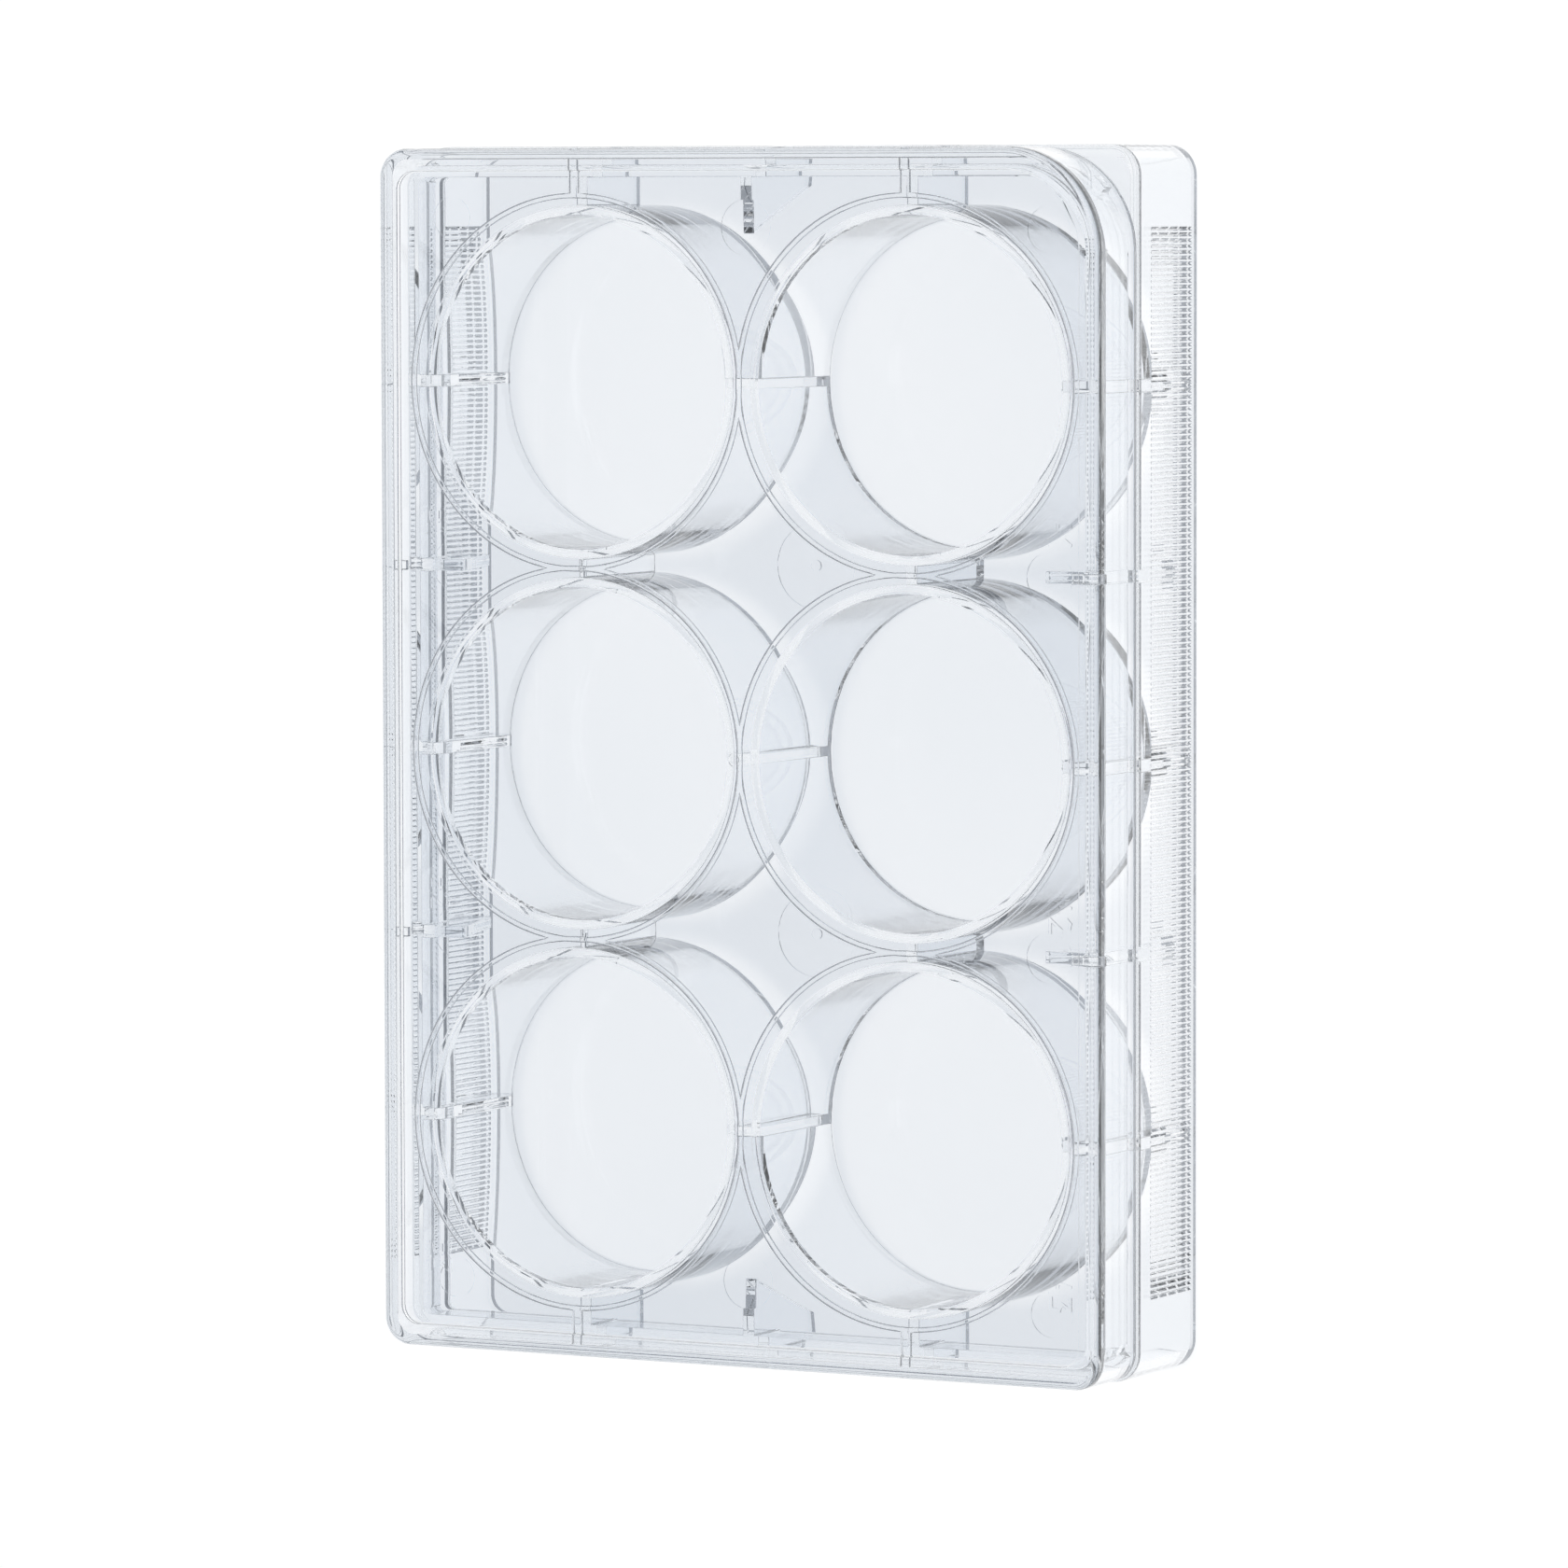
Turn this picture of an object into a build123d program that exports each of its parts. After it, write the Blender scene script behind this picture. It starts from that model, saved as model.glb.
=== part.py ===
from build123d import *
import math
import os

os.makedirs("parts", exist_ok=True)

# Six-well culture plate with lid. Millimetres, +Z up, the short side along X and
# the long side along Y. The origin is the centre of the footprint, on the plane
# that the plate stands on. Two mouldings: the plate, and the lid that rests on it.

# ---------------------------------------------------------------- footprint
FOOT_X, FOOT_Y = 85.48, 127.76      # standard microplate footprint
FOOT_R = 3.2                        # footprint corner radius
FLANGE_H = 14.0                     # height of the outer flange, to the ledge
FLANGE_T = 1.3                      # flange wall
LEDGE_T = 1.3                       # thickness of the ledge

# ---------------------------------------------------------------- upper wall and deck
WALL_X, WALL_Y = 40.75, 61.90       # half sizes of the upper wall, outside
WALL_T = 1.2
WALL_R = 2.2                        # three plain corners
WALL_KEY_R = 9.4                    # the one keyed corner (+X, +Y)
DECK_Z = 19.6                       # top of the deck
DECK_T = 1.2

# ---------------------------------------------------------------- wells
PITCH = 39.12
COLS = (-PITCH / 2, PITCH / 2)
ROWS = (PITCH, 0.0, -PITCH)
WELL_R_TOP = 17.6                   # inside radius at the rim
WELL_R_BOT = 17.42                  # inside radius at the bottom
WELL_R_OUT = 18.6
RIM_Z = 20.1                        # the rims stand 0.5 above the deck
FLOOR_Z = 4.2                       # inside bottom of the wells
UNDER_Z = 2.9                       # underside of the wells

# ---------------------------------------------------------------- webs and gussets
WEB_CROSS_T = 1.0                   # between wells of one row
WEB_LONG_T = 0.8                    # between wells of one column
WEB_SIDE_T = 1.2                    # wells to the outer walls
GUSSET_T = 1.25
GUSSET_L = 6.2                      # reach of a gusset under the deck

# ---------------------------------------------------------------- grip ribs
RIB_PITCH = 0.6
RIB_N = 185
RIB_DEPTH = 0.28
RIB_GROOVE = 0.44                   # width of a groove at the face
RIB_Z0, RIB_Z1 = 1.3, 11.0

# ---------------------------------------------------------------- lid
LID_X, LID_Y = 42.55, 63.68         # half sizes of the skirt, outside
LID_R = 3.0
LID_KEY_R = 10.8
SKIRT_T = 1.1
LID_TOP = 22.9                      # top of the border ridge
LID_PANEL = 22.25                   # top of the recessed panel
LID_UNDER = 20.8                    # underside of the panel
RIDGE_IN = 2.35                     # the ridge's inner edge, from the outer face
RING_R = 19.6                       # centre line of a condensation ring
RING_W = 0.55
RING_H = 0.5


def rounded(hx, hy, r, key_r):
    """Face of a rectangle with three plain corners and one keyed corner (+X, +Y)."""
    rect = Rectangle(2 * hx, 2 * hy)
    vs = rect.vertices()
    key = [v for v in vs if v.X > 0 and v.Y > 0]
    rest = [v for v in vs if not (v.X > 0 and v.Y > 0)]
    face = fillet(rest, r)
    key = [v for v in face.vertices() if abs(v.X - hx) < 1e-4 and abs(v.Y - hy) < 1e-4]
    return fillet(key, key_r)


def slab(hx, hy, r, key_r, z0, z1):
    return Pos(0, 0, z0) * extrude(rounded(hx, hy, r, key_r), z1 - z0)


def block(x0, x1, y0, y1, z0, z1):
    return Pos((x0 + x1) / 2, (y0 + y1) / 2, (z0 + z1) / 2) * Box(x1 - x0, y1 - y0, z1 - z0)


def disc(x, y, r, z0, z1):
    return Pos(x, y, (z0 + z1) / 2) * Cylinder(r, z1 - z0)


def prism_xz(points, y, t):
    """Solid with its profile in X and Z, centred on Y."""
    wire = Polyline(*[(px, 0, pz) for px, pz in points], close=True)
    return Pos(0, y + t / 2, 0) * extrude(make_face(wire), t, dir=(0, -1, 0))


def prism_yz(points, x, t):
    """Solid with its profile in Y and Z, centred on X."""
    wire = Polyline(*[(0, py, pz) for py, pz in points], close=True)
    return Pos(x - t / 2, 0, 0) * extrude(make_face(wire), t, dir=(1, 0, 0))


# ================================================================ the plate
hx, hy = FOOT_X / 2, FOOT_Y / 2

# outer flange, open below, with the ledge on top of it
flange = slab(hx, hy, FOOT_R, FOOT_R, 0, FLANGE_H)
top_edges = [e for e in flange.edges() if abs(e.center().Z - FLANGE_H) < 1e-4]
flange = fillet(top_edges, 0.7)
foot_edges = [e for e in flange.edges() if abs(e.center().Z) < 1e-4]
flange = chamfer(foot_edges, 0.25)

# fine vertical grooves on both long faces
half_run = RIB_N * RIB_PITCH / 2
for side in (1, -1):
    pts = [(side * (hx + 2), -half_run), (side * (hx + 0.001), -half_run)]
    for i in range(RIB_N):
        yc = -half_run + (i + 0.5) * RIB_PITCH
        pts += [
            (side * (hx + 0.001), yc - RIB_GROOVE / 2),
            (side * (hx - RIB_DEPTH), yc),
            (side * (hx + 0.001), yc + RIB_GROOVE / 2),
        ]
    pts += [(side * (hx + 0.001), half_run), (side * (hx + 2), half_run)]
    clean = [pts[0]]
    for p in pts[1:]:
        if math.dist(p, clean[-1]) > 1e-6:
            clean.append(p)
    comb = Pos(0, 0, RIB_Z0) * extrude(
        make_face(Polyline(*[(a, b, 0) for a, b in clean], close=True)), RIB_Z1 - RIB_Z0
    )
    flange = flange - comb

# hollow of the flange, up to the ledge
flange = flange - slab(
    hx - FLANGE_T, hy - FLANGE_T, FOOT_R - FLANGE_T, FOOT_R - FLANGE_T, -1, FLANGE_H - LEDGE_T
)
flange = flange - slab(
    WALL_X - WALL_T, WALL_Y - WALL_T, WALL_R - WALL_T, WALL_KEY_R - WALL_T, 5, FLANGE_H + 1
)

# upper wall and deck
crown = slab(WALL_X, WALL_Y, WALL_R, WALL_KEY_R, FLANGE_H - LEDGE_T, DECK_Z)
crown_edges = [e for e in crown.edges() if abs(e.center().Z - DECK_Z) < 1e-4]
crown = fillet(crown_edges, 0.6)
crown = crown - slab(
    WALL_X - WALL_T, WALL_Y - WALL_T, WALL_R - WALL_T, WALL_KEY_R - WALL_T,
    FLANGE_H - LEDGE_T - 1, DECK_Z - DECK_T,
)

# the spaces between four wells have no deck
for yc in (PITCH / 2, -PITCH / 2):
    crown = crown - block(
        -PITCH / 2, PITCH / 2, yc - PITCH / 2, yc + PITCH / 2, DECK_Z - DECK_T - 1, DECK_Z + 1
    )

plate = flange + crown

# webs from the wells to the outer walls
deck_in = DECK_Z - DECK_T / 2
wall_in_x, wall_in_y = WALL_X - WALL_T / 2, WALL_Y - WALL_T / 2
fl_in_x, fl_in_y = hx - FLANGE_T / 2, hy - FLANGE_T / 2
ledge_in = FLANGE_H - LEDGE_T / 2
ribs = []
for s in (1, -1):
    for y in ROWS:
        x0 = PITCH / 2 + WELL_R_OUT - 0.4
        prof = [
            (x0, deck_in), (wall_in_x, deck_in), (wall_in_x, ledge_in),
            (fl_in_x, ledge_in), (fl_in_x, 0.8), (x0 + 1.6, 0.8), (x0, UNDER_Z),
        ]
        ribs.append(prism_xz([(s * a, b) for a, b in prof], y, WEB_SIDE_T))
    for x in COLS:
        y0 = PITCH + WELL_R_OUT - 0.4
        prof = [
            (y0, deck_in), (wall_in_y, deck_in), (wall_in_y, ledge_in),
            (fl_in_y, ledge_in), (fl_in_y, 6.9), (y0, 6.9),
        ]
        ribs.append(prism_yz([(s * a, b) for a, b in prof], x, WEB_SIDE_T - 0.1))
    # tapering gussets under the deck, at mid width and at the row boundaries
    g0 = WALL_Y - WALL_T - GUSSET_L
    prof = [
        (g0, DECK_Z - DECK_T), (g0, deck_in), (wall_in_y, deck_in), (wall_in_y, ledge_in),
        (fl_in_y, ledge_in), (fl_in_y, 4.3), (WALL_Y - 2.2, 4.9),
    ]
    ribs.append(prism_yz([(s * a, b) for a, b in prof], 0, GUSSET_T))
    for y in (PITCH / 2, -PITCH / 2):
        g0 = WALL_X - WALL_T - GUSSET_L + 1.0
        prof = [
            (g0, DECK_Z - DECK_T), (g0, deck_in), (wall_in_x, deck_in), (wall_in_x, ledge_in),
            (fl_in_x, ledge_in), (fl_in_x, 4.3), (WALL_X - 2.0, 4.9),
        ]
        ribs.append(prism_xz([(s * a, b) for a, b in prof], y, GUSSET_T))

# webs between neighbouring wells
gap = PITCH / 2 - WELL_R_OUT + 0.35
for y in ROWS:
    ribs.append(block(-gap, gap, y - WEB_CROSS_T / 2, y + WEB_CROSS_T / 2, UNDER_Z, DECK_Z))
for x in COLS:
    for y in (PITCH / 2, -PITCH / 2):
        ribs.append(block(x - WEB_LONG_T / 2, x + WEB_LONG_T / 2, y - gap, y + gap, UNDER_Z, DECK_Z))

# the well barrels, and one floor that closes them and the spaces between them
for x in COLS:
    for y in ROWS:
        ribs.append(disc(x, y, WELL_R_OUT, UNDER_Z, RIM_Z))
ribs.append(block(-PITCH / 2, PITCH / 2, -PITCH, PITCH, UNDER_Z, FLOOR_Z))

# corner nubs on the ledge, turned 45 degrees, that centre the lid's skirt
for sx, sy in ((1, 1), (1, -1), (-1, 1), (-1, -1)):
    r = WALL_KEY_R if (sx, sy) == (1, 1) else WALL_R
    cx, cy = sx * (WALL_X - r), sy * (WALL_Y - r)
    d = r + 0.05
    nx, ny = cx + sx * d * math.sqrt(0.5), cy + sy * d * math.sqrt(0.5)
    ribs.append(
        Pos(nx, ny, FLANGE_H + 0.6) * Rot(0, 0, 45 if sx * sy > 0 else -45) * Box(1.1, 1.7, 2.0)
    )

for r in ribs:
    plate = plate + r

# the wells themselves
depth = RIM_Z - FLOOR_Z
for x in COLS:
    for y in ROWS:
        plate = plate - Pos(x, y, FLOOR_Z + (depth + 1) / 2) * Cone(
            WELL_R_BOT, WELL_R_TOP + (WELL_R_TOP - WELL_R_BOT) / depth, depth + 1
        )
        # a small lead-in at the mouth
        plate = plate - Pos(x, y, RIM_Z - 0.1) * Cone(WELL_R_TOP, WELL_R_TOP + 0.25, 0.2 + 1e-3)

# ejector-pin witness marks under the deck, 0.12 deep
pins = [
    (0, 55.4, 2.9), (0, -55.0, 2.9),
    (35.3, PITCH / 2, 2.6), (35.3, -PITCH / 2, 2.6), (-35.3, PITCH / 2, 2.6), (-35.3, -PITCH / 2, 2.6),
    (-35.4, 56.4, 2.2), (35.2, 55.2, 2.4), (-35.4, -56.4, 2.2), (35.6, -56.4, 2.4),
]
for px, py, pr in pins:
    plate = plate - disc(px, py, pr, DECK_Z - DECK_T - 0.5, DECK_Z - DECK_T + 0.12)

# gate wells under the floor, between four wells
for y in (PITCH / 2, -PITCH / 2):
    plate = plate - disc(0, y, 4.6, UNDER_Z - 0.5, UNDER_Z + 0.15)
    plate = plate + disc(0, y, 0.6, UNDER_Z - 0.1, UNDER_Z + 0.4)

# well coordinates, raised 0.15 on the deck, read with the keyed corner at the top left
STROKES = {
    "A": [((0, 0), (0.5, 1)), ((0.5, 1), (1, 0)), ((0.2, 0.38), (0.8, 0.38))],
    "B": [((0, 0), (0, 1)), ((0, 1), (0.85, 0.95)), ((0.85, 0.95), (0.85, 0.55)), ((0, 0.52), (0.9, 0.52)),
          ((0.95, 0.5), (0.95, 0.05)), ((0, 0), (0.95, 0.03))],
    "1": [((0.5, 0), (0.5, 1)), ((0.5, 1), (0.15, 0.75))],
    "2": [((0, 0.85), (0.3, 1)), ((0.3, 1), (0.8, 0.95)), ((0.8, 0.95), (0.85, 0.6)), ((0.85, 0.6), (0, 0)),
          ((0, 0), (1, 0))],
    "3": [((0, 1), (0.85, 1)), ((0.85, 1), (0.4, 0.58)), ((0.4, 0.58), (0.9, 0.45)), ((0.9, 0.45), (0.8, 0.05)),
          ((0.8, 0.05), (0, 0.05))],
}
GLYPH_H, GLYPH_W, STROKE = 2.3, 1.35, 0.32
for letter, sx in (("A", 1), ("B", -1)):
    for digit, y in zip("123", ROWS):
        gx = sx * 36.9 - GLYPH_H / 2
        gy = y - 13.6
        for k, glyph in enumerate(letter + digit):
            for (u0, v0), (u1, v1) in STROKES[glyph]:
                # text runs along -Y, and its top points to +X
                ax, ay = gx + v0 * GLYPH_H, gy - (k * 1.9 + u0 * GLYPH_W)
                bx, by = gx + v1 * GLYPH_H, gy - (k * 1.9 + u1 * GLYPH_W)
                length = math.dist((ax, ay), (bx, by)) + STROKE
                angle = math.degrees(math.atan2(by - ay, bx - ax))
                plate = plate + Pos((ax + bx) / 2, (ay + by) / 2, DECK_Z) * Rot(0, 0, angle) * Box(
                    length, STROKE, 0.3
                )

# ================================================================ the lid
lid = slab(LID_X, LID_Y, LID_R, LID_KEY_R, FLANGE_H, LID_TOP)
edges = [e for e in lid.edges() if abs(e.center().Z - LID_TOP) < 1e-4]
lid = fillet(edges, 0.75)
lid = lid - slab(
    LID_X - SKIRT_T, LID_Y - SKIRT_T, LID_R - SKIRT_T, LID_KEY_R - SKIRT_T, FLANGE_H - 1, LID_UNDER
)
lid = lid - slab(
    LID_X - RIDGE_IN, LID_Y - RIDGE_IN, 2.0, LID_KEY_R - RIDGE_IN, LID_PANEL, LID_TOP + 1
)

# condensation rings under the panel, one over each well
for x in COLS:
    for y in ROWS:
        ring = disc(x, y, RING_R + RING_W / 2, LID_UNDER - RING_H, LID_UNDER + 0.2)
        ring = ring - disc(x, y, RING_R - RING_W / 2, LID_UNDER - RING_H - 1, LID_UNDER + 1)
        lid = lid + ring

# short bridges from the rings to the skirt, and tabs at the row boundaries
for s in (1, -1):
    for x in COLS:
        y0, y1 = PITCH + RING_R - 0.1, LID_Y - SKIRT_T / 2
        lid = lid + block(x - 0.5, x + 0.5, min(s * y0, s * y1), max(s * y0, s * y1),
                          LID_UNDER - RING_H, LID_UNDER + 0.2)
    for y in (PITCH / 2, -PITCH / 2):
        x0, x1 = LID_X - SKIRT_T - 1.3, LID_X - SKIRT_T / 2
        lid = lid + block(min(s * x0, s * x1), max(s * x0, s * x1), y - 0.5, y + 0.5,
                          LID_UNDER - RING_H, LID_UNDER + 0.2)

# gate mark at the centre of the panel
lid = lid - disc(0, 0, 0.75, LID_PANEL - 0.15, LID_PANEL + 1)
lid = lid + disc(0, 0, 0.45, LID_PANEL - 0.3, LID_PANEL + 0.05)

for name, shape in (("well_plate", plate), ("lid", lid)):
    solids = shape.solids()
    print(name, "solids", len(solids), "volume", round(sum(s.volume for s in solids), 1))
    export_step(Compound(children=solids) if len(solids) > 1 else solids[0], "parts/%s.step" % name)
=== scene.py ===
import bmesh
import bpy
import math
import numpy as np
from mathutils import Matrix, Vector


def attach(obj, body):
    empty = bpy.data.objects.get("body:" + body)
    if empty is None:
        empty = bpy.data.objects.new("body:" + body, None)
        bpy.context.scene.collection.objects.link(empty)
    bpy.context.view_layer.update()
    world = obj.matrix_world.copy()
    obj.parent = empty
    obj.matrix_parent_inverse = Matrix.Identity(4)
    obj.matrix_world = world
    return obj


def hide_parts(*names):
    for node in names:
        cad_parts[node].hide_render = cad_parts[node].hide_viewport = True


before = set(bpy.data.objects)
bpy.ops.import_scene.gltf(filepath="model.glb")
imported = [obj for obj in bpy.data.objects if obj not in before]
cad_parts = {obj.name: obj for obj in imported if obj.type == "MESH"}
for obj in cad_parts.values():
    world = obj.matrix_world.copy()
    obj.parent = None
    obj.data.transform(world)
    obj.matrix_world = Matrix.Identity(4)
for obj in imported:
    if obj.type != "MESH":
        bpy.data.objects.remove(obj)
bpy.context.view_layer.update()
scene = bpy.context.scene


# ------------------------------------------------------------------ camera
# The view is nearly straight down on the lid, turned towards the keyed side.
def make_camera():
    focal_px, yaw, pitch, roll, dist = 9540.9, 28.207, 3.827, -0.117, 0.93944
    target = Vector((-0.00074, -0.003268, 0.010))
    y, p, r = math.radians(yaw), math.radians(pitch), math.radians(roll)
    n = Vector((math.sin(y) * math.cos(p), math.sin(p), math.cos(y) * math.cos(p)))
    right = Vector((math.cos(y), 0, -math.sin(y)))
    up = n.cross(right)
    rx = math.cos(r) * right + math.sin(r) * up
    ux = -math.sin(r) * right + math.cos(r) * up
    data = bpy.data.cameras.new("camera")
    data.sensor_fit = "HORIZONTAL"
    data.sensor_width = 36.0
    data.lens = focal_px / 1680 * 36.0
    data.clip_start, data.clip_end = 0.01, 50
    cam = bpy.data.objects.new("camera", data)
    scene.collection.objects.link(cam)
    m = Matrix.Identity(4)
    for i, axis in enumerate((rx, ux, n)):
        m[0][i], m[1][i], m[2][i] = axis
    m.translation = target + n * dist
    cam.matrix_world = m
    scene.camera = cam


make_camera()


# ------------------------------------------------------------------ node helpers
def new_tree(name):
    mat = bpy.data.materials.new(name)
    mat.use_nodes = True
    nt = mat.node_tree
    nt.nodes.clear()
    return mat, nt


def node(nt, kind, **values):
    n = nt.nodes.new(kind)
    for k, v in values.items():
        if k.startswith("in_"):
            n.inputs[int(k[3:]) if k[3:].isdigit() else k[3:].replace("_", " ")].default_value = v
        else:
            setattr(n, k, v)
    return n


def ramp(nt, stops, interpolation="LINEAR"):
    n = nt.nodes.new("ShaderNodeValToRGB")
    n.color_ramp.interpolation = interpolation
    e = n.color_ramp.elements
    while len(e) > 1:
        e.remove(e[-1])
    e[0].position, e[0].color = stops[0]
    for at, colour in stops[1:]:
        x = e.new(at)
        x.color = colour
    return n


# ------------------------------------------------------------------ materials
def clear_plastic(name, tint_a, tint_b, rough_hi, bump):
    """Crystal polystyrene: clear, with faint flow in its colour, gloss and surface."""
    mat, nt = new_tree(name)
    out = node(nt, "ShaderNodeOutputMaterial")
    b = node(nt, "ShaderNodeBsdfPrincipled")
    b.inputs["Metallic"].default_value = 0.0
    b.inputs["IOR"].default_value = 1.59
    b.inputs["Transmission Weight"].default_value = 1.0
    b.inputs["Roughness"].default_value = 0.0
    co = node(nt, "ShaderNodeTexCoord")
    # one soft noise drives all three: the melt's flow shows in tint, gloss and surface
    flow = node(nt, "ShaderNodeTexNoise")
    flow.inputs["Scale"].default_value = 30.0
    flow.inputs["Detail"].default_value = 0.0
    nt.links.new(co.outputs["Object"], flow.inputs["Vector"])
    tint = ramp(nt, [(0.32, (*tint_a, 1)), (0.68, (*tint_b, 1))])
    nt.links.new(flow.outputs["Fac"], tint.inputs["Fac"])
    nt.links.new(tint.outputs["Color"], b.inputs["Base Color"])
    if rough_hi:
        rr = node(nt, "ShaderNodeMapRange")
        rr.inputs["From Min"].default_value = 0.60
        rr.inputs["From Max"].default_value = 0.80
        rr.inputs["To Min"].default_value = 0.0
        rr.inputs["To Max"].default_value = rough_hi
        nt.links.new(flow.outputs["Fac"], rr.inputs["Value"])
        nt.links.new(rr.outputs["Result"], b.inputs["Roughness"])
    if bump:
        bp = node(nt, "ShaderNodeBump")
        bp.inputs["Strength"].default_value = bump
        bp.inputs["Distance"].default_value = 0.0002
        nt.links.new(flow.outputs["Fac"], bp.inputs["Height"])
        nt.links.new(bp.outputs["Normal"], b.inputs["Normal"])
    nt.links.new(b.outputs["BSDF"], out.inputs["Surface"])
    return mat


plate_mat = clear_plastic("clear_plate", (0.942, 0.957, 0.975), (0.962, 0.973, 0.988), 0.03, 0.03)
lid_mat = clear_plastic("clear_lid", (0.954, 0.966, 0.980), (0.970, 0.979, 0.990), 0.03, 0.03)

# ------------------------------------------------------------------ fine meshes
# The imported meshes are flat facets 0.03 mm off the true curves, and clear plastic
# shows each facet. These pieces keep every CAD vertex and add new ones on the true
# round walls, cones and fillets, with exact normals. Lengths here are in mm.
P = 39.12
centres = [(x, y) for x in (-P / 2, P / 2) for y in (P, 0.0, -P)]


class Rev:
    """A vertical cylinder or cone: radius r0 + k * (z - z0) about (cx, cy)."""

    def __init__(self, cx, cy, r0, k=0.0, z0=0.0, zlo=-1.0, zhi=30.0):
        self.c, self.r0, self.k, self.z0, self.zlo, self.zhi = (cx, cy), r0, k, z0, zlo, zhi
        self.ca = 1 / math.sqrt(1 + k * k)

    def at(self, p):
        d = p[:, :2] - np.array(self.c)
        r = np.maximum(np.linalg.norm(d, axis=1), 1e-9)
        dist = (r - self.r0 - self.k * (p[:, 2] - self.z0)) * self.ca
        n = np.c_[d / r[:, None] * self.ca, np.full(len(p), -self.k * self.ca)]
        return dist, n


def outline(p, hx, hy, r, key):
    """Signed distance and outward normal of a rounded rectangle with one keyed corner."""
    x, y = p[:, 0], p[:, 1]
    rad = np.where((x > 0) & (y > 0), key, r)
    qx, qy = np.abs(x) - hx + rad, np.abs(y) - hy + rad
    corner = (qx > 0) & (qy > 0)
    ln = np.maximum(np.hypot(qx, qy), 1e-9)
    dist = np.where(corner, ln - rad, np.maximum(qx, qy) - rad)
    nx = np.where(corner, qx / ln, (qx >= qy) * 1.0) * np.sign(x)
    ny = np.where(corner, qy / ln, (qx < qy) * 1.0) * np.sign(y)
    return dist, nx, ny


class Wall:
    """A vertical wall along a rounded rectangle. With k, it leans as a chamfer does."""

    def __init__(self, hx, hy, r, key, k=0.0, z0=0.0, zlo=-1.0, zhi=30.0):
        self.a, self.k, self.z0, self.zlo, self.zhi = (hx, hy, r, key), k, z0, zlo, zhi
        self.ca = 1 / math.sqrt(1 + k * k)

    def at(self, p):
        d, nx, ny = outline(p, *self.a)
        dist = (d - self.k * (p[:, 2] - self.z0)) * self.ca
        return dist, np.c_[nx * self.ca, ny * self.ca, np.full(len(p), -self.k * self.ca)]


class Fillet:
    """A rounded top edge of radius f along a rounded rectangle."""

    def __init__(self, hx, hy, r, key, f, top):
        self.a, self.f, self.zc, self.zlo, self.zhi = (hx, hy, r, key), f, top - f, top - f, top

    def at(self, p):
        d, nx, ny = outline(p, *self.a)
        u, v = d + self.f, p[:, 2] - self.zc
        ln = np.maximum(np.hypot(u, v), 1e-9)
        return ln - self.f, np.c_[nx * u / ln, ny * u / ln, v / ln]


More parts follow.
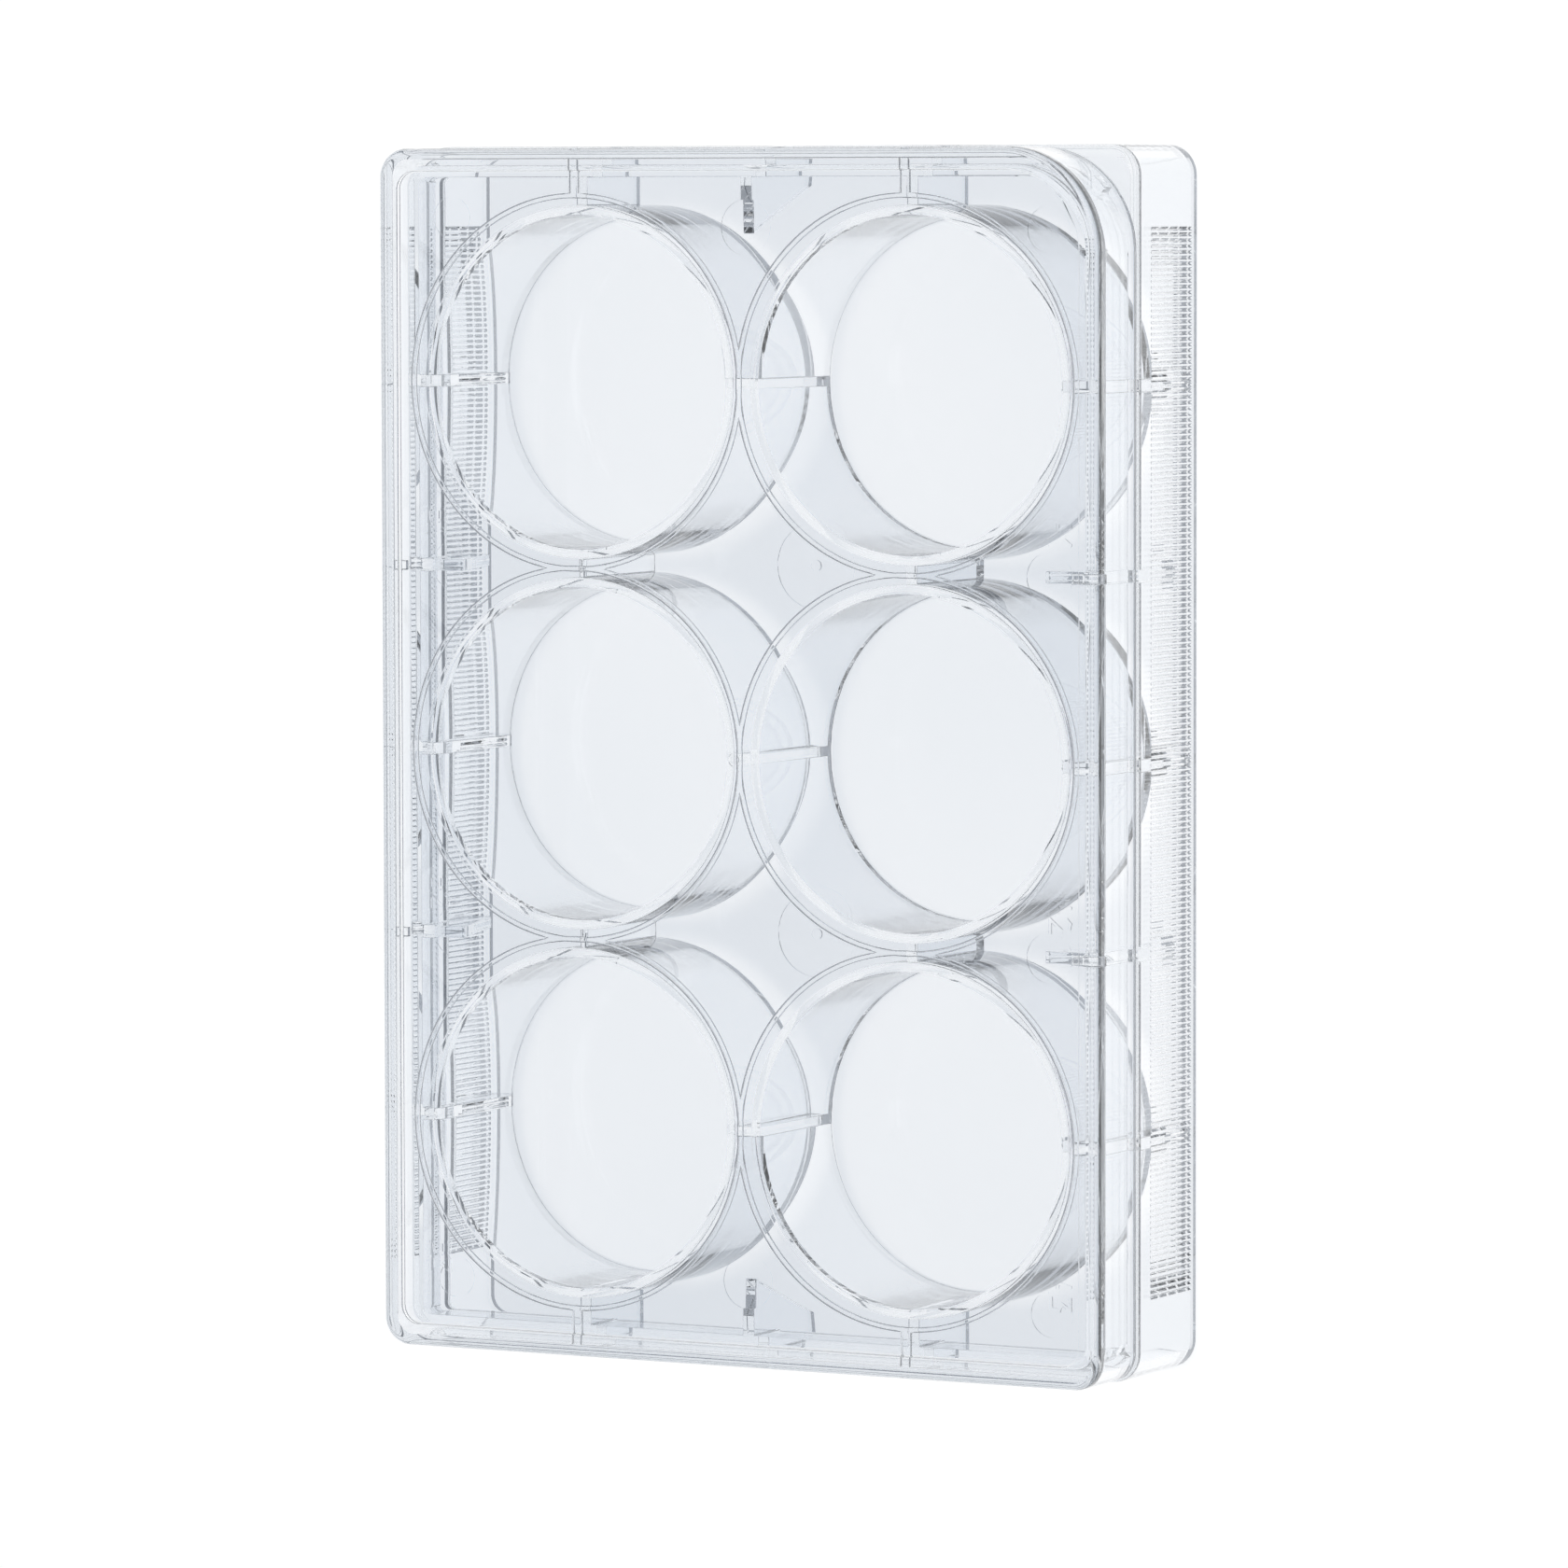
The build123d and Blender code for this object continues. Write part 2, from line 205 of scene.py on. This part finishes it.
def refine(source, name, surfaces, levels, tol):
    me = source.data
    co = np.zeros(len(me.vertices) * 3, np.float32)
    me.vertices.foreach_get("co", co)
    co = co.reshape(-1, 3).astype(float) * 1000
    box = co.min(0), co.max(0)
    # the wall and the lead-in of a well meet with a step of 0.002 mm: close it
    for cx, cy in centres:
        r, t = np.hypot(co[:, 0] - cx, co[:, 1] - cy), np.arctan2(co[:, 1] - cy, co[:, 0] - cx).round(5)
        at = (np.abs(co[:, 2] - 19.8995) < 2e-3) & (np.abs(r - 17.599) < 3e-3)
        co[at, 0], co[at, 1], co[at, 2] = cx + 17.6 * np.cos(t[at]), cy + 17.6 * np.sin(t[at]), 19.8995
    me.calc_loop_triangles()
    tri = np.zeros(len(me.loop_triangles) * 3, np.int32)
    me.loop_triangles.foreach_get("vertices", tri)
    tri = tri.reshape(-1, 3)
    key, first, back = np.unique(np.round(co * 5000).astype(np.int64), axis=0, return_index=True, return_inverse=True)
    co, tri = co[first], back.reshape(-1)[tri]
    tri = tri[(tri[:, 0] != tri[:, 1]) & (tri[:, 1] != tri[:, 2]) & (tri[:, 0] != tri[:, 2])]

    def facet(t):
        n = np.cross(co[t[:, 1]] - co[t[:, 0]], co[t[:, 2]] - co[t[:, 0]])
        return n / np.maximum(np.linalg.norm(n, axis=1), 1e-15)[:, None]

    flat, mid = facet(tri), co[tri].mean(1)
    for axis in range(3):
        # slivers too get the exact direction of a face that lies square
        square = (np.ptp(co[tri][:, :, axis], axis=1) < 3e-4) & (np.abs(flat[:, axis]) > 0.9)
        flat[square] = np.eye(3)[axis] * np.sign(flat[square, axis])[:, None]
    kind, sign = np.full(len(tri), -1), np.ones(len(tri))
    for k, s in enumerate(surfaces):
        dist, _ = s.at(co)
        on = (np.abs(dist) < 3.5e-3) & (co[:, 2] > s.zlo - 1e-3) & (co[:, 2] < s.zhi + 1e-3)
        _, n = s.at(mid)
        dot = (flat * n).sum(1)
        mine = on[tri].all(1) & (np.abs(dot) > 0.93) & (kind < 0)
        kind[mine], sign[mine] = k, np.sign(dot[mine])
    # slivers carry no direction of their own: they take that of the plane beside them
    plane_n, plane_p = flat.copy(), co[tri[:, 0]].copy()
    for _ in range(levels):
        e = np.sort(np.stack([tri, np.roll(tri, -1, 1)], 2).reshape(-1, 2), 1)
        edges, where = np.unique(e, axis=0, return_inverse=True)
        where = where.reshape(-1)
        owner = np.repeat(np.arange(len(tri)), 3)
        order = np.argsort(where, kind="stable")
        starts = np.searchsorted(where[order], np.arange(len(edges)))
        fa = owner[order[starts]]
        ends = np.r_[starts[1:], len(order)] - 1
        fb = owner[order[ends]]
        m0 = co[edges].mean(1)
        m = m0.copy()
        for _ in range(5):
            for f in (fa, fb):
                d = ((m - plane_p[f]) * plane_n[f]).sum(1)
                step = d[:, None] * plane_n[f]
                for k, s in enumerate(surfaces):
                    at = np.flatnonzero(kind[f] == k)
                    if len(at):
                        dist, n = s.at(m[at])
                        step[at] = dist[:, None] * n
                m = m - step
        moved = np.linalg.norm(m - m0, axis=1)
        split = (moved > tol) & (moved < 0.08)
        new = np.full(len(edges), -1)
        new[split] = len(co) + np.arange(split.sum())
        co = np.vstack([co, m[split]])
        n3 = new[where].reshape(-1, 3)  # vertex put on edge (0,1), (1,2), (2,0), or -1
        out, src = [], []
        has = (n3 >= 0).sum(1)
        keep = has == 0
        out.append(tri[keep]); src.append(np.flatnonzero(keep))
        for turn in range(3):
            i, j, k = turn, (turn + 1) % 3, (turn + 2) % 3
            one = np.flatnonzero((has == 1) & (n3[:, i] >= 0))
            a, b, c, x = tri[one, i], tri[one, j], tri[one, k], n3[one, i]
            out += [np.c_[a, x, c], np.c_[x, b, c]]; src += [one, one]
            two = np.flatnonzero((has == 2) & (n3[:, k] < 0))  # edges (i,j) and (j,k) split
            a, b, c, x, y = tri[two, i], tri[two, j], tri[two, k], n3[two, i], n3[two, j]
            out.append(np.c_[x, b, y]); src.append(two)
            short = np.linalg.norm(co[a] - co[y], axis=1) < np.linalg.norm(co[x] - co[c], axis=1)
            out.append(np.where(short[:, None], np.c_[a, x, y], np.c_[a, x, c])); src.append(two)
            out.append(np.where(short[:, None], np.c_[a, y, c], np.c_[x, y, c])); src.append(two)
        all3 = np.flatnonzero(has == 3)
        a, b, c = tri[all3].T
        x, y, z = n3[all3].T
        out += [np.c_[a, x, z], np.c_[x, b, y], np.c_[z, y, c], np.c_[x, y, z]]; src += [all3] * 4
        tri, src = np.vstack(out), np.concatenate(src)
        kind, sign, plane_n, plane_p = kind[src], sign[src], plane_n[src], plane_p[src]
    return co, tri, kind, sign, plane_n, box


def exact(surfaces, kind, sign, plane, pts):
    """Normals of points that lie on faces of the given kinds."""
    out = plane.copy()
    for k, s in enumerate(surfaces):
        at = np.flatnonzero(kind == k)
        if len(at):
            _, n = s.at(pts[at])
            out[at] = n * sign[at][:, None]
    return out


def build(name, data, surfaces, rules):
    """Round the sharp edges by the rules, and give every corner its own normal."""
    co, tri, kind, sign, plane_n, box = data
    bm = bmesh.new()
    vs = [bm.verts.new(v) for v in co.tolist()]
    tag = bm.faces.layers.int.new("tag")
    for i, t in enumerate(tri.tolist()):
        f = bm.faces.new((vs[t[0]], vs[t[1]], vs[t[2]]))
        f[tag] = i + 1
    bm.edges.ensure_lookup_table()
    # the flat faces become large polygons again
    mid = co[tri].mean(1)
    n_face = exact(surfaces, kind, sign, plane_n, mid)
    flat_edges = [
        e for e in bm.edges
        if len(e.link_faces) == 2
        and kind[e.link_faces[0][tag] - 1] < 0 and kind[e.link_faces[1][tag] - 1] < 0
        and float(n_face[e.link_faces[0][tag] - 1] @ n_face[e.link_faces[1][tag] - 1]) > 0.9999995
    ]
    bm.normal_update()
    bmesh.ops.dissolve_limit(bm, angle_limit=math.radians(5), use_dissolve_boundaries=False, verts=[], edges=flat_edges)
    for width, want in rules:
        picked = []
        for e in bm.edges:
            if len(e.link_faces) != 2:
                continue
            a, b = e.link_faces[0][tag] - 1, e.link_faces[1][tag] - 1
            if a < 0 or b < 0 or a == b:
                continue
            m = (e.verts[0].co + e.verts[1].co) / 2
            if not want(m, e.verts[0].co, e.verts[1].co):
                continue
            pt = np.array([m[:], m[:]])
            n = exact(surfaces, kind[[a, b]], sign[[a, b]], plane_n[[a, b]], pt)
            if float(n[0] @ n[1]) < 0.9:
                picked.append(e)
        bm.normal_update()
        made = bmesh.ops.bevel(
            bm, geom=picked, offset=width, offset_type="OFFSET", segments=3, profile=0.5,
            affect="EDGES", clamp_overlap=False, material=-1, loop_slide=True,
        )
        for f in made["faces"]:
            f[tag] = 0
    bm.normal_update()
    bmesh.ops.triangulate(bm, faces=bm.faces[:], quad_method="SHORT_EDGE", ngon_method="EAR_CLIP")
    bm.faces.ensure_lookup_table()
    bm.verts.ensure_lookup_table()
    bm.verts.index_update()
    tags = np.array([f[tag] for f in bm.faces]) - 1
    fv = np.array([[v.index for v in f.verts] for f in bm.faces])
    # nothing may pass the box of the piece, not even by a rounding error
    pc = np.clip(np.array([v.co[:] for v in bm.verts]), *box)
    bm.free()
    nor = np.zeros((len(fv), 3, 3))
    old = tags >= 0
    k3, s3, p3 = np.repeat(kind[tags[old]], 3), np.repeat(sign[tags[old]], 3), np.repeat(plane_n[tags[old]], 3, axis=0)
    nor[old] = exact(surfaces, k3, s3, p3, pc[fv[old]].reshape(-1, 3)).reshape(-1, 3, 3)
    # a rounding takes the normal of the face it runs into, or its own mean inside
    touch, own = np.zeros((len(pc), 3)), np.zeros((len(pc), 3))
    np.add.at(touch, fv[old].reshape(-1), nor[old].reshape(-1, 3))
    fn = np.cross(pc[fv[:, 1]] - pc[fv[:, 0]], pc[fv[:, 2]] - pc[fv[:, 0]])
    new = ~old
    fu = fn / np.maximum(np.linalg.norm(fn, axis=1), 1e-15)[:, None]
    # a facet that a rounding has turned off its surface keeps its own direction
    turned = np.abs((nor * fu[:, None]).sum(2)).max(1) < 0.6
    nor[turned & old] = fu[turned & old][:, None]
    np.add.at(own, fv[new].reshape(-1), np.repeat(fn[new], 3, axis=0))
    use = np.where((np.linalg.norm(touch, axis=1) > 1e-9)[:, None], touch, own)
    use /= np.maximum(np.linalg.norm(use, axis=1), 1e-12)[:, None]
    got = use[fv[new]]
    off = (got * fu[new][:, None]).sum(2) < 0.3
    nor[new] = np.where(off[:, :, None], fu[new][:, None], got)
    mesh = bpy.data.meshes.new(name)
    mesh.from_pydata((pc / 1000).tolist(), [], fv.tolist())
    mesh.polygons.foreach_set("use_smooth", np.ones(len(fv), bool))
    mesh.normals_split_custom_set(nor.reshape(-1, 3).tolist())
    mesh.update()
    o = bpy.data.objects.new(name, mesh)
    scene.collection.objects.link(o)
    return o


plate_surfaces = []
for cx, cy in centres:
    plate_surfaces += [
        Rev(cx, cy, 17.42, 0.18 / 15.9, 4.2, 4.2, 20.0),
        Rev(cx, cy, 17.6, 0.25 / 0.201, 19.8995, 19.9, 20.1),
        Rev(cx, cy, 18.6),
    ]
plate_surfaces += [
    Fillet(42.74, 63.88, 3.2, 3.2, 0.7, 14.0),
    Fillet(40.75, 61.90, 2.2, 9.4, 0.6, 19.6),
    Wall(42.74, 63.88, 3.2, 3.2, 0.0, 0.0, 0.25, 13.3),
    Wall(42.49, 63.63, 2.95, 2.95, 1.0, 0.0, 0.0, 0.25),
    Wall(41.44, 62.58, 1.9, 1.9),
    Wall(40.75, 61.90, 2.2, 9.4, 0.0, 0.0, 12.7, 19.0),
    Wall(39.55, 60.70, 1.0, 8.2),
]
for px, py, pr in (
    (0, 55.4, 2.9), (0, -55.0, 2.9),
    (35.3, P / 2, 2.6), (35.3, -P / 2, 2.6), (-35.3, P / 2, 2.6), (-35.3, -P / 2, 2.6),
    (-35.4, 56.4, 2.2), (35.2, 55.2, 2.4), (-35.4, -56.4, 2.2), (35.6, -56.4, 2.4),
    (0, P / 2, 4.6), (0, -P / 2, 4.6), (0, P / 2, 0.6), (0, -P / 2, 0.6),
):
    plate_surfaces.append(Rev(px, py, pr))
lid_surfaces = [
    Fillet(42.55, 63.68, 3.0, 10.8, 0.75, 22.9),
    Wall(42.55, 63.68, 3.0, 10.8, 0.0, 0.0, 14.0, 22.15),
    Wall(41.45, 62.58, 1.9, 9.7),
    Wall(40.20, 61.33, 2.0, 8.45),
    Rev(0, 0, 0.75), Rev(0, 0, 0.45),
]
for cx, cy in centres:
    lid_surfaces += [Rev(cx, cy, 19.875), Rev(cx, cy, 19.325)]

def near(v, r, z, tol=0.02):
    """True where a point is r from the axis of its well and at height z."""
    if abs(v.z - z) > tol:
        return False
    return any(abs(math.hypot(v.x - cx, v.y - cy) - r) < tol for cx, cy in centres)


def level(a, b, z):
    return abs(a.z - z) < 0.01 and abs(b.z - z) < 0.01


def plate_main(m, a, b):
    # rims, well bottoms inside and outside
    if near(a, 18.6, 20.1) or near(a, 17.42, 4.2) or near(a, 18.6, 2.9):
        return abs(a.z - b.z) < 0.01
    return False


def straight(m, a, b):
    """Long straight edges of webs, gussets and walls, clear of the grooves and marks."""
    if (a - b).length < 1.2 or m.z < 0.4:
        return False
    if abs(m.x) > 41.9 and m.z < 11.3:
        return False
    if m.z > 19.55 and 34.0 < abs(m.x) < 39.0:
        return False
    return True


def lid_main(m, a, b):
    if level(a, b, 14.0):
        return True
    if level(a, b, 20.3) and (near(a, 19.875, 20.3) or near(a, 19.325, 20.3)):
        return True
    if level(a, b, 22.9) or level(a, b, 22.25):
        return max(abs(m.x) - 38, abs(m.y) - 59) > 0
    return False


plate = build("plate_moulding", refine(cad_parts["well_plate"], "plate", plate_surfaces, 2, 0.004), plate_surfaces, [(0.2, plate_main), (0.1, straight)])
cover = build("lid_moulding", refine(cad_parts["lid"], "lid", lid_surfaces, 2, 0.004), lid_surfaces, [(0.18, lid_main), (0.1, straight)])
# the skirt of the lid stands on the ledge: a gap of 0.02 mm keeps the two faces apart
for v in cover.data.vertices:
    if v.co.z < 0.014005:
        v.co.z = 0.01402
for o, cad, mat, slot in (
    (plate, "well_plate", plate_mat, "plate"),
    (cover, "lid", lid_mat, "lid"),
):
    o.data.materials.append(mat)
    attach(o, "root")
    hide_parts(cad)
    # lamps and the floor's own light pass the clear plastic, so it lays no dark shadow
    o.visible_shadow = False
    o.visible_diffuse = False


# ------------------------------------------------------------------ floor
def make_floor():
    mesh = bpy.data.meshes.new("floor")
    s = 3.0
    mesh.from_pydata([(-s, -s, 0), (s, -s, 0), (s, s, 0), (-s, s, 0)], [], [(0, 1, 2, 3)])
    o = bpy.data.objects.new("floor", mesh)
    o.location.z = -0.0002
    scene.collection.objects.link(o)
    mat, nt = new_tree("floor_paper")
    out = node(nt, "ShaderNodeOutputMaterial")
    b = node(nt, "ShaderNodeBsdfPrincipled")
    b.inputs["Roughness"].default_value = 0.9
    b.inputs["Specular IOR Level"].default_value = 0.1
    co = node(nt, "ShaderNodeTexCoord")
    grain = node(nt, "ShaderNodeTexNoise")
    grain.inputs["Scale"].default_value = 600.0
    grain.inputs["Detail"].default_value = 3.0
    nt.links.new(co.outputs["Object"], grain.inputs["Vector"])
    tint = ramp(nt, [(0.3, (0.945, 0.935, 0.915, 1)), (0.7, (0.96, 0.95, 0.93, 1))])
    nt.links.new(grain.outputs["Fac"], tint.inputs["Fac"])
    nt.links.new(tint.outputs["Color"], b.inputs["Base Color"])
    # a lit table: the paper glows around the object and fades out past it
    away = node(nt, "ShaderNodeVectorMath", operation="LENGTH")
    nt.links.new(co.outputs["Object"], away.inputs[0])
    glow = node(nt, "ShaderNodeMapRange", interpolation_type="SMOOTHSTEP")
    glow.inputs["From Min"].default_value = 0.10
    glow.inputs["From Max"].default_value = 0.50
    glow.inputs["To Min"].default_value = 0.645
    glow.inputs["To Max"].default_value = 0.0
    nt.links.new(away.outputs["Value"], glow.inputs["Value"])
    nt.links.new(glow.outputs["Result"], b.inputs["Emission Strength"])
    b.inputs["Emission Color"].default_value = (1.0, 0.995, 0.985, 1)
    nt.links.new(b.outputs["BSDF"], out.inputs["Surface"])
    mesh.materials.append(mat)
    return o


make_floor()


# The clear pieces lay no shadow of their own, which Cycles would make black and hard.
# This thin card, seen by no camera, lays the soft shade that clear plastic does: it
# covers the foot of the plate but not the six flat well bottoms.
def make_shade_card():
    z, hx, hy, r = 0.0006, 0.0424, 0.0636, 0.0188
    bm = bmesh.new()
    ring = []
    for cx, cy, a0 in ((hx, hy, 0), (-hx, hy, 90), (-hx, -hy, 180), (hx, -hy, 270)):
        for k in range(5):
            t = math.radians(a0 + 22.5 * k)
            x = math.copysign(abs(cx) - 0.003, cx) + 0.003 * math.cos(t)
            y = math.copysign(abs(cy) - 0.003, cy) + 0.003 * math.sin(t)
            ring.append(bm.verts.new((x, y, z)))
    edges = [bm.edges.new((ring[i], ring[(i + 1) % len(ring)])) for i in range(len(ring))]
    for cx, cy in centres:
        loop = [
            bm.verts.new((cx / 1000 + r * math.cos(math.tau * k / 72), cy / 1000 + r * math.sin(math.tau * k / 72), z))
            for k in range(72)
        ]
        edges += [bm.edges.new((loop[i], loop[(i + 1) % 72])) for i in range(72)]
    bmesh.ops.triangle_fill(bm, use_beauty=True, use_dissolve=False, edges=edges)
    inside = [
        f for f in bm.faces
        if any(math.hypot(f.calc_center_median().x - cx / 1000, f.calc_center_median().y - cy / 1000) < r * 0.97 for cx, cy in centres)
        and all(min(math.hypot(v.co.x - cx / 1000, v.co.y - cy / 1000) for cx, cy in centres) < r * 1.001 for v in f.verts)
        and len({min(range(6), key=lambda i: math.hypot(v.co.x - centres[i][0] / 1000, v.co.y - centres[i][1] / 1000)) for v in f.verts}) == 1
    ]
    bmesh.ops.delete(bm, geom=inside, context="FACES_ONLY")
    mesh = bpy.data.meshes.new("shade_card")
    bm.to_mesh(mesh)
    bm.free()
    o = bpy.data.objects.new("shade_card", mesh)
    scene.collection.objects.link(o)
    mat, nt = new_tree("shade")
    out = node(nt, "ShaderNodeOutputMaterial")
    t = node(nt, "ShaderNodeBsdfTransparent")
    co = node(nt, "ShaderNodeTexCoord")
    sep = node(nt, "ShaderNodeSeparateXYZ")
    # painted shade: the card passes less light at -y than at +y, so the shade it lays under the plate grows darker
    # towards -y
    along = node(nt, "ShaderNodeMapRange")
    along.inputs["From Min"].default_value = -0.064
    along.inputs["From Max"].default_value = 0.064
    shade = ramp(nt, [(0.0, (0.62, 0.67, 0.73, 1)), (1.0, (0.70, 0.74, 0.79, 1))])
    nt.links.new(co.outputs["Object"], sep.inputs["Vector"])
    nt.links.new(sep.outputs["Y"], along.inputs["Value"])
    nt.links.new(along.outputs["Result"], shade.inputs["Fac"])
    nt.links.new(shade.outputs["Color"], t.inputs["Color"])
    nt.links.new(t.outputs["BSDF"], out.inputs["Surface"])
    mesh.materials.append(mat)
    o.visible_camera = o.visible_glossy = o.visible_transmission = False
    return o


make_shade_card()


# ------------------------------------------------------------------ light
def make_world():
    w = bpy.data.worlds.new("studio")
    scene.world = w
    w.use_nodes = True
    nt = w.node_tree
    nt.nodes.clear()
    out = node(nt, "ShaderNodeOutputWorld")
    bg = node(nt, "ShaderNodeBackground")
    co = node(nt, "ShaderNodeTexCoord")
    sep = node(nt, "ShaderNodeSeparateXYZ")
    nt.links.new(co.outputs["Generated"], sep.inputs["Vector"])
    # a soft top light in a dim room, which draws the grey lines in the edges
    shade = ramp(
        nt,
        [
            (0.00, (0.026, 0.030, 0.043, 1)),
            (0.15, (0.043, 0.052, 0.066, 1)),
            (0.40, (0.122, 0.136, 0.158, 1)),
            (0.70, (0.296, 0.314, 0.342, 1)),
            (0.88, (0.350, 0.368, 0.398, 1)),
            (1.00, (0.350, 0.368, 0.394, 1)),
        ],
        "EASE",
    )
    nt.links.new(sep.outputs["Z"], shade.inputs["Fac"])
    nt.links.new(shade.outputs["Color"], bg.inputs["Color"])
    bg.inputs["Strength"].default_value = 1.0
    nt.links.new(bg.outputs["Background"], out.inputs["Surface"])
    w.cycles.sampling_method = "AUTOMATIC"


def area(name, at, aim, w, h, power, colour, spread):
    data = bpy.data.lights.new(name, "AREA")
    data.shape = "RECTANGLE"
    data.size, data.size_y = w, h
    data.energy = power
    data.color = colour
    data.spread = math.radians(spread)
    o = bpy.data.objects.new(name, data)
    scene.collection.objects.link(o)
    o.location = at
    o.rotation_mode = "QUATERNION"
    o.rotation_quaternion = (Vector(aim) - Vector(at)).to_track_quat("-Z", "Y")
    o.visible_glossy = o.visible_transmission = False
    return o


make_world()
area("key", (-0.50, 0.85, 0.80), (0, 0, 0), 0.8, 0.8, 0.70, (1.0, 0.985, 0.96), 70)
area("fill", (1.5, 0.5, 0.9), (0, 0, 0), 0.9, 0.9, 0.35, (1.0, 0.985, 0.96), 60)

# ------------------------------------------------------------------ look of the picture
scene.view_settings.view_transform = "Standard"
scene.view_settings.look = "None"
scene.view_settings.exposure = 0.0
scene.view_settings.gamma = 1.0
c = scene.cycles
c.max_bounces = 44
c.transmission_bounces = 44
c.glossy_bounces = 44
c.diffuse_bounces = 3
c.transparent_max_bounces = 16
c.volume_bounces = 0
c.caustics_reflective = True
c.caustics_refractive = True
c.blur_glossy = 0.0
c.sample_clamp_indirect = 0.0
c.use_denoising = True
